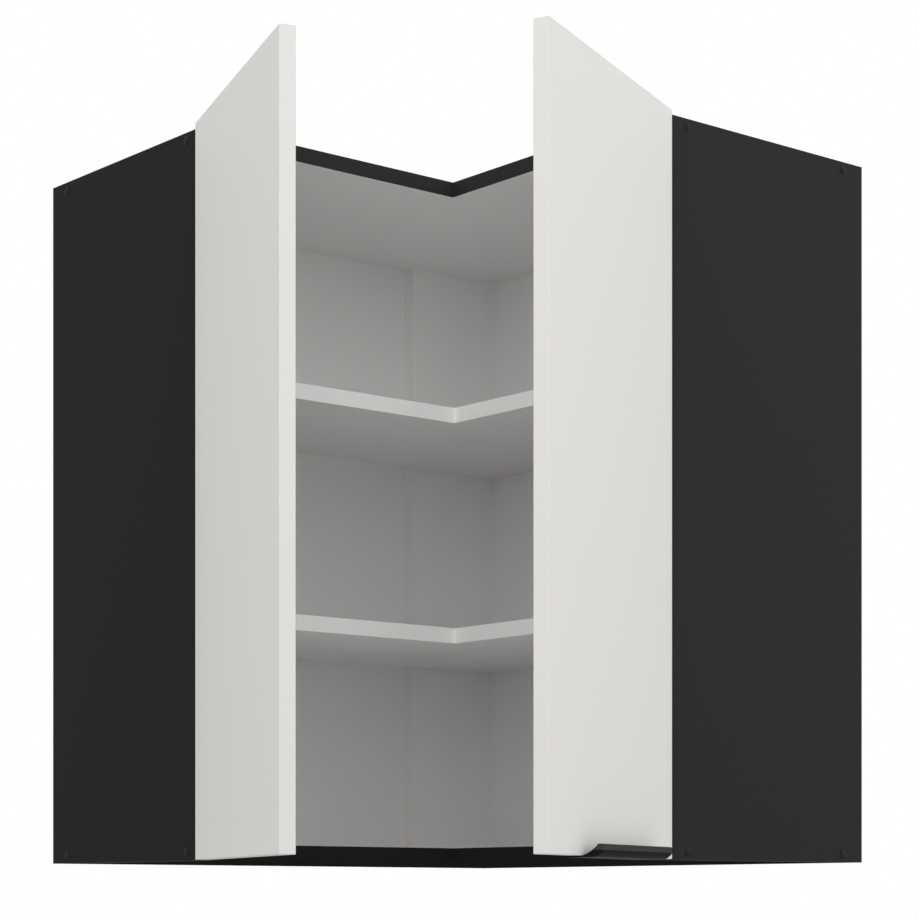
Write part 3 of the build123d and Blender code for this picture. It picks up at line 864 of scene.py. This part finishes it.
class FittingTree:
    """A Geometry Nodes tree that sets one turned fitting on every point of a mesh."""

    def __init__(self, name: str) -> None:
        """Start the tree with its geometry sockets.

        Args:
            name: Name of the tree.
        """
        self.tree = bpy.data.node_groups.new(name, "GeometryNodeTree")
        for socket, way in (("Points", "INPUT"), ("Fittings", "OUTPUT")):
            self.tree.interface.new_socket(socket, in_out=way, socket_type="NodeSocketGeometry")
        self.sizes: dict[str, float] = {}
        self.source = self.tree.nodes.new("NodeGroupInput")
        self.end = self.tree.nodes.new("NodeGroupOutput")

    def size(self, name: str, value: float) -> bpy.types.NodeSocket:
        """Add a named size as an input of the tree.

        Args:
            name: Name of the input.
            value: Its value on this fitting, in millimetres.

        Returns:
            The socket that carries the size.
        """
        socket = self.tree.interface.new_socket(name, in_out="INPUT", socket_type="NodeSocketFloat")
        self.sizes[socket.identifier] = value * MM
        return self.source.outputs[name]

    def _feed(self, socket: bpy.types.NodeSocket, value: Any) -> None:
        """Link another node's socket to an input, or write a plain value on it.

        Args:
            socket: Socket of a node's input.
            value: An output socket, a number or a vector.
        """
        if isinstance(value, bpy.types.NodeSocket):
            self.tree.links.new(value, socket)
        else:
            socket.default_value = value

    def node(self, kind: str, settings: dict[str, Any] | None = None, **inputs: Any) -> Any:
        """Add a node with its settings and its inputs by name.

        Args:
            kind: Blender's type name of the node.
            settings: Settings that are set first.
            inputs: Numbers, vectors or sockets, with an underscore for a space.

        Returns:
            The node.
        """
        made = self.tree.nodes.new(kind)
        for key, value in (settings or {}).items():
            setattr(made, key, value)
        for key, value in inputs.items():
            self._feed(made.inputs[key.replace("_", " ")], value)
        return made

    def maths(self, first: Any, operation: str, second: Any) -> bpy.types.NodeSocket:
        """Add a Math node between two sizes.

        Args:
            first: A size or a number.
            operation: Blender's name of the operation.
            second: A size or a number.

        Returns:
            The result's socket.
        """
        made = self.node("ShaderNodeMath", {"operation": operation})
        for socket, value in zip(made.inputs, (first, second)):
            self._feed(socket, value)
        return made.outputs[0]

    def moved(self, shape: bpy.types.NodeSocket, height: Any) -> bpy.types.NodeSocket:
        """Move a shape along its own axis.

        Args:
            shape: The shape.
            height: How far it goes up.

        Returns:
            The moved shape.
        """
        vector = self.node("ShaderNodeCombineXYZ", Z=height)
        made = self.node(
            "GeometryNodeTransform", Geometry=shape, Translation=vector.outputs["Vector"]
        )
        return made.outputs["Geometry"]

    def cone(
        self, top: Any, bottom: Any, depth: Any, low: Any, sides: int = 32
    ) -> bpy.types.NodeSocket:
        """Return a closed cone, cylinder or prism whose base is at a height.

        Args:
            top: Radius of its upper end.
            bottom: Radius of its lower end.
            depth: Its height.
            low: Height of its base.
            sides: Number of its sides.

        Returns:
            Its mesh.
        """
        made = self.node(
            "GeometryNodeMeshCone",
            {"fill_type": "NGON"},
            Vertices=sides,
            Radius_Top=top,
            Radius_Bottom=bottom,
            Depth=depth,
        )
        return self.moved(made.outputs["Mesh"], low)

    def joined(self, operation: str, *shapes: bpy.types.NodeSocket) -> bpy.types.NodeSocket:
        """Make one closed solid of several.

        Args:
            operation: "UNION", "INTERSECT" or "DIFFERENCE".
            shapes: The solids; with "DIFFERENCE", the others are cut out of the first.

        Returns:
            The solid.
        """
        made = self.tree.nodes.new("GeometryNodeMeshBoolean")
        made.operation = operation
        rest = list(shapes)
        if operation == "DIFFERENCE":
            self.tree.links.new(rest.pop(0), made.inputs["Mesh 1"])
        for shape in rest:
            self.tree.links.new(shape, made.inputs["Mesh 2"])
        return made.outputs["Mesh"]

    def finish(self, shape: bpy.types.NodeSocket, finish: Finish, seed: int) -> None:
        """Set the shape on every point, each turned by its own angle, and give it its finish.

        Args:
            shape: The fitting, with its outer end at height 0.
            finish: Its finish.
            seed: Seed of the angles.
        """
        aim = self.node(
            "GeometryNodeInputNamedAttribute", {"data_type": "FLOAT_VECTOR"}, Name="outward"
        )
        facing = self.node(
            "FunctionNodeAlignRotationToVector", {"axis": "Z"}, Vector=aim.outputs["Attribute"]
        )
        angle = self.node("FunctionNodeRandomValue", {"data_type": "FLOAT"}, Seed=seed)
        for socket in angle.inputs:
            if socket.name == "Max" and socket.type == "VALUE":
                socket.default_value = 2.0 * math.pi
        number = next(s for s in angle.outputs if s.type == "VALUE" and s.enabled)
        spin = self.node("FunctionNodeAxisAngleToRotation", Axis=UP, Angle=number)
        turned = self.node(
            "FunctionNodeRotateRotation",
            {"rotation_space": "LOCAL"},
            Rotation=facing.outputs["Rotation"],
            Rotate_By=spin.outputs["Rotation"],
        )
        spread = self.node(
            "GeometryNodeInstanceOnPoints",
            Points=self.source.outputs["Points"],
            Instance=shape,
            Rotation=turned.outputs["Rotation"],
        )
        real = self.node("GeometryNodeRealizeInstances", Geometry=spread.outputs["Instances"])
        painted = self.node("GeometryNodeSetMaterial", Geometry=real.outputs["Geometry"])
        painted.inputs["Material"].default_value = finish.material()
        self.tree.links.new(painted.outputs["Geometry"], self.end.inputs["Fittings"])

    def made_on(self, places: list[Place], name: str) -> bpy.types.Object:
        """Run the tree on a set of places and return a plain mesh.

        Args:
            places: Where the fittings go.
            name: Name of the piece.

        Returns:
            The piece.
        """
        mesh = bpy.data.meshes.new(name + "_points")
        mesh.from_pydata([place.end for place in places], [], [])
        aims = mesh.attributes.new("outward", "FLOAT_VECTOR", "POINT")
        for entry, place in zip(aims.data, places):
            entry.vector = place.outward
        carrier = bpy.data.objects.new(name + "_draft", mesh)
        bpy.context.scene.collection.objects.link(carrier)
        modifier = carrier.modifiers.new("fittings", "NODES")
        modifier.node_group = self.tree
        for identifier, value in self.sizes.items():
            modifier[identifier] = value
        made = evaluated(carrier, name)
        made.data.shade_smooth()
        made.data.set_sharp_from_angle(angle=SHARP_ABOVE)
        return made


@dataclass(frozen=True)
class Screw:
    """A turned screw or nail: a head with a chamfered rim, a drive and a shank, in millimetres.

    The width of a cross drive's bars, cross_bar, is a share of the drive's span.
    """

    finish: Finish
    crown: float
    rim: float
    chamfer: float
    head: float
    shank: float
    length: float
    recess: Recess = Recess.CROSS
    drive: float = 0.0
    drive_depth: float = 0.0
    neck: float = 0.0
    neck_length: float = 0.0
    cross_bar: float = 0.24
    seed: int = 3

    def build(self, node: str) -> None:
        """Set the screws on a node's places and let them stand for it.

        Args:
            node: Name of the node.
        """
        tree = FittingTree(node)
        chamfer = tree.size("Chamfer height", self.chamfer)
        head = tree.size("Head height", self.head)
        rim = tree.size("Rim radius", self.rim)
        shank = tree.size("Shank length", self.length - self.head)
        base = tree.maths(0.0, "SUBTRACT", head)
        top = tree.size("Crown radius", self.crown)
        crown = tree.cone(top, rim, chamfer, tree.maths(0.0, "SUBTRACT", chamfer))
        ring = tree.cone(rim, rim, tree.maths(head, "SUBTRACT", chamfer), base)
        core = tree.size("Shank radius", self.shank)
        stem = tree.cone(core, core, shank, tree.maths(base, "SUBTRACT", shank))
        shape = tree.joined("UNION", crown, ring)
        if self.recess is not Recess.NONE:
            shape = tree.joined("DIFFERENCE", shape, *self._drive(tree))
        parts = [shape, stem]
        if self.neck:
            neck = tree.size("Neck radius", self.neck)
            run = tree.size("Neck length", self.neck_length)
            parts.append(tree.cone(neck, neck, run, tree.maths(base, "SUBTRACT", run)))
        both = tree.tree.nodes.new("GeometryNodeJoinGeometry")
        for part in parts:
            tree.tree.links.new(part, both.inputs["Geometry"])
        tree.finish(both.outputs["Geometry"], self.finish, self.seed)
        places = fastener_places(node)
        stand_in(tree.made_on(places, node + "_turned"), node)
        log.info("%s: %d set", node, len(places))

    def _drive(self, tree: FittingTree) -> list[bpy.types.NodeSocket]:
        """Return the solids that cut the drive out of the head.

        Args:
            tree: Tree that the solids are built in.

        Returns:
            One solid for a hexagon, two for a cross.
        """
        span = tree.size("Drive span", self.drive)
        depth = tree.size("Drive depth", self.drive_depth)
        low = tree.maths(0.0, "SUBTRACT", depth)
        if self.recess is Recess.HEX:
            radius = tree.maths(span, "DIVIDE", 2.0)
            return [tree.cone(radius, radius, tree.maths(depth, "ADD", 1.0 * MM), low, sides=6)]
        slot = tree.maths(span, "MULTIPLY", self.cross_bar)
        height = tree.maths(depth, "MULTIPLY", 2.0)
        bars = []
        for x, y in ((span, slot), (slot, span)):
            size = tree.node("ShaderNodeCombineXYZ", X=x, Y=y, Z=height)
            made = tree.node("GeometryNodeMeshCube", Size=size.outputs["Vector"])
            bars.append(made.outputs["Mesh"])
        return [tree.joined("UNION", *bars)]


CONNECTOR_SCREW = Screw(
    ZINC,
    crown=3.6,
    rim=3.9,
    chamfer=0.3,
    head=3.0,
    shank=2.4,
    length=48.0,
    recess=Recess.HEX,
    drive=4.6,
    drive_depth=2.4,
    neck=3.4,
    neck_length=13.0,
)
BACK_NAIL = Screw(
    ZINC,
    crown=1.2,
    rim=1.5,
    chamfer=0.2,
    head=0.6,
    shank=0.8,
    length=18.6,
    recess=Recess.NONE,
)
HANGER_SCREW = Screw(
    ZINC,
    crown=2.6,
    rim=3.2,
    chamfer=0.5,
    head=1.6,
    shank=1.6,
    length=13.6,
    drive=3.4,
    drive_depth=1.0,
)
HANGER_ADJUSTER = Screw(
    ZINC,
    crown=3.4,
    rim=4.0,
    chamfer=0.5,
    head=2.0,
    shank=2.5,
    length=10.7,
    drive=4.4,
    drive_depth=1.3,
)
CUP_SCREW = Screw(
    NICKEL,
    crown=2.6,
    rim=3.4,
    chamfer=0.5,
    head=1.4,
    shank=1.5,
    length=13.4,
    drive=3.6,
    drive_depth=0.9,
)
PLATE_SCREW = Screw(
    NICKEL,
    crown=3.4,
    rim=4.0,
    chamfer=0.5,
    head=1.5,
    shank=2.6,
    length=14.0,
    drive=4.4,
    drive_depth=1.1,
)
ARM_SCREW = Screw(
    NICKEL,
    crown=3.0,
    rim=3.6,
    chamfer=0.4,
    head=1.6,
    shank=2.0,
    length=14.0,
    drive=4.0,
    drive_depth=1.1,
)
HANDLE_SCREW = Screw(
    ZINC,
    crown=2.6,
    rim=2.8,
    chamfer=0.2,
    head=1.3,
    shank=1.5,
    length=12.3,
    drive=3.2,
    drive_depth=0.9,
)


@dataclass(frozen=True)
class CoverCaps:
    """Domed plastic caps over the connector screws of the end panels, in millimetres."""

    node: str = "screw_caps"
    finish: Finish = Moulded("black cap plastic", srgb(39, 39, 39), 0.45, gloss=0.05)
    radius: float = 4.5
    height: float = 1.6
    rim: float = 0.3
    seed: int = 5

    def build(self) -> None:
        """Set the caps on their places and let them stand for their node."""
        tree = FittingTree(self.node)
        radius = tree.size("Cap radius", self.radius)
        height = tree.size("Cap height", self.height)
        rise = self.height - self.rim
        arc = tree.size("Dome radius", (self.radius**2 + rise**2) / (2.0 * rise))
        ball = tree.node("GeometryNodeMeshUVSphere", Segments=64, Rings=96, Radius=arc)
        dome = tree.moved(ball.outputs["Mesh"], tree.maths(0.0, "SUBTRACT", arc))
        low = tree.maths(0.0, "SUBTRACT", height)
        post = tree.cone(radius, radius, tree.maths(height, "MULTIPLY", 2.0), low)
        shell = tree.joined("INTERSECT", dome, post)
        tree.finish(shell, self.finish, self.seed)
        places = fastener_places(self.node, wide_end=False)
        stand_in(tree.made_on(places, self.node + "_domed"), self.node)
        log.info("%s: %d set", self.node, len(places))


# ---------------------------------------------------------------- sub-assemblies


@dataclass
class Carcass:
    """The boards of the cabinet, its backs and its fixed fasteners."""

    length: float = 0.600
    depth: float = 0.288
    height: float = 0.716
    board: float = 0.016
    back_front: float = 0.012
    easing: float = 0.35 * MM
    # One board black, written at a different tone for each board: the end panels' and the top's
    # tones are painted light and shade, and the bottom panel's is darker still.
    left_black: Colour = srgb(33, 33, 33)
    right_black: Colour = srgb(43, 42, 42)
    top_black: Colour = srgb(45, 45, 44)
    bottom_black: Colour = srgb(35, 35, 35)
    gloss: float = 0.05
    bottom_gloss: float = 0.0
    inner_gloss: float = 0.2

    def build(self) -> None:
        """Dress the boards and set the fasteners."""
        inner = self.length - self.board
        wall_x = Face(Patch.CORE, MINUS_X, 0.0)
        wall_y = Face(Patch.CORE, PLUS_Y, 0.0)
        front_x = Face(Patch.BAND, PLUS_X, self.depth)
        front_y = Face(Patch.BAND, MINUS_Y, self.depth)
        into_left = Face(Patch.INSIDE, PLUS_Y, -inner)
        into_right = Face(Patch.INSIDE, MINUS_X, -inner)
        ceiling = Face(Patch.INSIDE, DOWN, self.board - self.height)
        ground = Face(Patch.INSIDE, UP, self.board)
        boards = (
            ("left_end_panel", self.left_black, self.gloss, (into_left, wall_x, front_x)),
            ("right_end_panel", self.right_black, self.gloss, (into_right, wall_y, front_y)),
            ("top_panel", self.top_black, self.gloss, (ceiling, wall_x, wall_y)),
            ("bottom_panel", self.bottom_black, self.bottom_gloss, (ground, wall_x, wall_y)),
        )
        for node, black, gloss, faces in boards:
            ease(node, self.easing, FacedBoard(node + " board", black, faces, LIGHT, gloss=gloss))
        inner_board = FacedBoard("inner board", LIGHT, (), LIGHT, gloss=self.inner_gloss)
        for node in ("upper_shelf", "lower_shelf", "corner_board"):
            ease(node, self.easing, inner_board)
        for side, outward, across in (("left", PLUS_X, PLUS_Y), ("right", MINUS_Y, PLUS_X)):
            hardboard = BackBoard(f"{side} hardboard", LIGHT, outward, self.back_front, across)
            dress(f"{side}_back_panel", hardboard)
        dress("panel_dowels", Beech("dowel beech"))
        dress("shelf_pins", NICKEL)
        self._screws()
        CoverCaps().build()

    def _screws(self) -> None:
        """Set the connector screws and the nails."""
        for node in ("end_panel_screws", "corner_board_screws", "shelf_corner_screws"):
            CONNECTOR_SCREW.build(node)
        BACK_NAIL.build("back_nails")


@dataclass
class Hangers:
    """The two wall hangers with their hooks and screws."""

    easing: float = 0.6 * MM
    hook_easing: float = 0.3 * MM
    plastic: Finish = Moulded("light hanger plastic", srgb(206, 206, 203), 0.45)

    def build(self) -> None:
        """Ease the housings and hooks and set the screws."""
        for side in SIDES:
            ease(f"{side}_hanger_housing", self.easing, self.plastic)
            ease(f"{side}_hanger_hook", self.hook_easing, ZINC)
        HANGER_SCREW.build("hanger_screws")
        HANGER_ADJUSTER.build("hanger_adjusters")


@dataclass
class Hinges:
    """The four concealed hinges."""

    easing: float = 0.2 * MM

    def build(self) -> None:
        """Ease the stampings and set the screws."""
        for side in SIDES:
            for level in ("lower", "upper"):
                for part in ("plate", "arm", "link", "cup"):
                    ease(f"{side}_{level}_hinge_{part}", self.easing, NICKEL)
            dress(f"{side}_cup_pins", NICKEL)
            CUP_SCREW.build(f"{side}_cup_screws")
        dress("hinge_arm_pins", NICKEL)
        PLATE_SCREW.build("hinge_plate_screws")
        ARM_SCREW.build("hinge_arm_screws")


@dataclass
class Doors:
    """The two door boards, the bumpers and the edge handle."""

    colour: Colour = PALE
    reach: float = 0.600
    front: float = 0.288
    bottom: float = 0.0005
    top: float = 0.7155
    reveal: float = 0.0024
    gap: float = 0.003
    left_width: float = 0.2976
    right_width: float = 0.2876
    left_angle: float = 110.0
    right_angle: float = 114.0
    handle_easing: float = 0.2 * MM
    handle_crease: float = 25.0
    coat: Finish = PowderCoat("black powder coat", srgb(59, 59, 60))
    silicone: Finish = Moulded("clear bumper silicone", srgb(225, 226, 226), 0.25, 0.65)

    def build(self) -> None:
        """Dress the doors and set what is on them."""
        for side in SIDES:
            dress(f"{side}_door_panel", self._laminate(side))
            dress(f"{side}_door_bumpers", self.silicone)
        ease("door_handle", self.handle_easing, self.coat, self.handle_crease)
        HANDLE_SCREW.build("handle_screws")

    def _laminate(self, side: str) -> DoorLaminate:
        """Return a door's laminate, set out from its own hinge corner.

        Args:
            side: "left" or "right".

        Returns:
            The finish.
        """
        left = side == "left"
        angle = math.radians(-self.left_angle if left else self.right_angle)
        inward = Vector(PLUS_Y if left else MINUS_X)
        near = self.front + self.gap
        far = self.reach - self.reveal
        corner = (near, -far, 0.0) if left else (far, -near, 0.0)
        along = Matrix.Rotation(angle, 3, "Z") @ inward
        return DoorLaminate(
            f"{side} door laminate",
            self.colour,
            corner,
            tuple(along),
            self.left_width if left else self.right_width,
            self.bottom,
            self.top,
        )


# ---------------------------------------------------------------- studio


@dataclass
class Studio:
    """Pale floor, soft light and the camera."""

    middle: Direction = (0.3, -0.3, 0.36)
    floor_level: float = -1.45
    floor_size: float = 9.0
    floor_tones: tuple[float, float] = (0.86, 0.89)
    floor_bounce: float = 0.6
    fade: tuple[float, float] = (0.25, 0.8)
    ambient: float = 0.688
    lamp_size: float = 2.6
    lamp_distance: float = 3.5
    lamps: tuple[tuple[str, float, float, float], ...] = (
        ("front lamp", -40.0, 15.0, 38.2),
        ("high lamp", -40.0, 50.0, 21.8),
        ("side lamp", 60.0, 15.0, 17.5),
    )
    camera_place: Direction = (2.3368, -1.99273, -0.03929)
    yaw: float = 50.2184
    lens: float = 99.3895
    shift: tuple[float, float] = (0.0056, 0.48119)
    sensor: float = 36.0
    clip: tuple[float, float] = (0.1, 60.0)

    def build(self) -> None:
        """Set up the world, the lamps, the floor and the camera."""
        self._world()
        self._floor()
        for lamp in self.lamps:
            self._lamp(*lamp)
        self._camera()

    def _world(self) -> None:
        """Make a white background over a softer ambient light."""
        world = bpy.data.worlds.new("studio")
        world.use_nodes = True
        bpy.context.scene.world = world
        nodes, links = world.node_tree.nodes, world.node_tree.links
        background = nodes["Background"]
        path = nodes.new("ShaderNodeLightPath")
        seen = path.outputs["Is Camera Ray"]
        for ray in ("Is Glossy Ray", "Is Transmission Ray"):
            either = nodes.new("ShaderNodeMath")
            either.operation = "MAXIMUM"
            links.new(seen, either.inputs[0])
            links.new(path.outputs[ray], either.inputs[1])
            seen = either.outputs[0]
        strength = nodes.new("ShaderNodeMapRange")
        strength.inputs["To Min"].default_value = self.ambient
        strength.inputs["To Max"].default_value = 1.0
        links.new(seen, strength.inputs["Value"])
        links.new(strength.outputs["Result"], background.inputs["Strength"])
        background.inputs["Color"].default_value = (*WHITE, 1.0)

    def _floor(self) -> None:
        """Lay a floor that looks pale, sends on less light and fades into the background."""
        shape = bmesh.new()
        bmesh.ops.create_circle(shape, cap_ends=True, segments=96, radius=self.floor_size)
        mesh = bpy.data.meshes.new("floor")
        shape.to_mesh(mesh)
        shape.free()
        floor = bpy.data.objects.new("floor", mesh)
        floor.location = (*self.middle[:2], self.floor_level)
        bpy.context.scene.collection.objects.link(floor)
        graph = Graph("pale floor")
        place = graph.place()
        radius = graph.node("ShaderNodeVectorMath", {"operation": "LENGTH"}, place)["Value"]
        tone = graph.noise(place, scale=3.0, detail=3.0)
        white = graph.node("ShaderNodeEmission", {}, WHITE, 1.0)
        path = graph.node("ShaderNodeLightPath", {})
        looked_at = path["Is Camera Ray"]
        shade = graph.varied(tone, WHITE, *self.floor_tones)
        bounce = scaled(WHITE, self.floor_bounce)
        graph.finish(Base_Color=graph.blend(looked_at, bounce, shade), Roughness=0.9)
        seen = union([looked_at, path["Is Glossy Ray"], path["Is Transmission Ray"]])
        fade = radius.rise(*(self.floor_size * share for share in self.fade))
        mix = graph.node("ShaderNodeMixShader", {}, seen * fade)
        inputs = mix.socket.node.inputs
        graph.tree.links.new(graph.shader.outputs["BSDF"], inputs[1])
        graph.tree.links.new(white.socket, inputs[2])
        out = graph.tree.nodes["Material Output"]
        graph.tree.links.new(mix.socket, out.inputs["Surface"])
        mesh.materials.append(graph.material)

    def _lamp(self, name: str, azimuth: float, elevation: float, power: float) -> None:
        """Hang a square soft lamp that faces the cabinet.

        Args:
            name: Name of the lamp.
            azimuth: Its direction from the cabinet, in degrees from +X towards +Y.
            elevation: Its height above the level, in degrees.
            power: Its power, in watts.
        """
        data = bpy.data.lights.new(name, "AREA")
        data.size = self.lamp_size
        data.energy = power
        turn, lift = math.radians(azimuth), math.radians(elevation)
        level = math.cos(lift)
        away = Vector((level * math.cos(turn), level * math.sin(turn), math.sin(lift)))
        lamp = bpy.data.objects.new(name, data)
        lamp.location = Vector(self.middle) + away * self.lamp_distance
        lamp.rotation_euler = away.to_track_quat("Z", "Y").to_euler()
        bpy.context.scene.collection.objects.link(lamp)

    def _camera(self) -> None:
        """Set the level camera at the photograph's viewing angle."""
        data = bpy.data.cameras.new("camera")
        data.sensor_width = self.sensor
        data.lens = self.lens
        data.shift_x, data.shift_y = self.shift
        data.clip_start, data.clip_end = self.clip
        camera = bpy.data.objects.new("camera", data)
        camera.location = self.camera_place
        camera.rotation_euler = (math.radians(90.0), 0.0, math.radians(self.yaw))
        bpy.context.scene.collection.objects.link(camera)
        bpy.context.scene.camera = camera


def main() -> None:
    """Build the studio and the cabinet."""
    logging.basicConfig(level=logging.INFO, format="%(name)s: %(message)s")
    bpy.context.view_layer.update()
    bpy.context.scene.view_settings.view_transform = "Standard"
    Studio().build()
    Carcass().build()
    Hangers().build()
    Hinges().build()
    Doors().build()
    bpy.context.view_layer.update()


if __name__ == "__main__":
    main()
